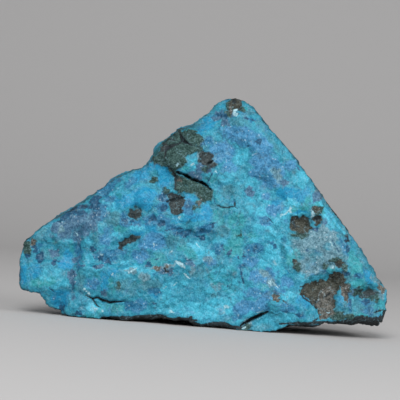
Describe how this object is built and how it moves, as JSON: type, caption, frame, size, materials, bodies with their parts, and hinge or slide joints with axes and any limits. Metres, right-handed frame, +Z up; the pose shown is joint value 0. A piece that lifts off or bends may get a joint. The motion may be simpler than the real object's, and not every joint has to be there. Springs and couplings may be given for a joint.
{
  "type": "chrysocolla specimen",
  "caption": "Hand-sized broken block of blue-green chrysocolla with deep-blue granular zones and brown host-rock patches, standing on its lowest lumps.",
  "frame": {"origin": "centre of the footprint of the stone's box, on the surface that it stands on", "axes": "+X to the stone's right as its coloured front face is seen, +Y from the front face into the stone, +Z up"},
  "size_m": [0.1418, 0.0464, 0.0885],
  "materials": {
    "chrysocolla": "rough broken mineral surface: waxy turquoise to sky blue, granular navy and indigo zones, grey-green and brown host-rock patches"
  },
  "bodies": {
    "root": {"chrysocolla": "chrysocolla"}
  },
  "joints": []
}
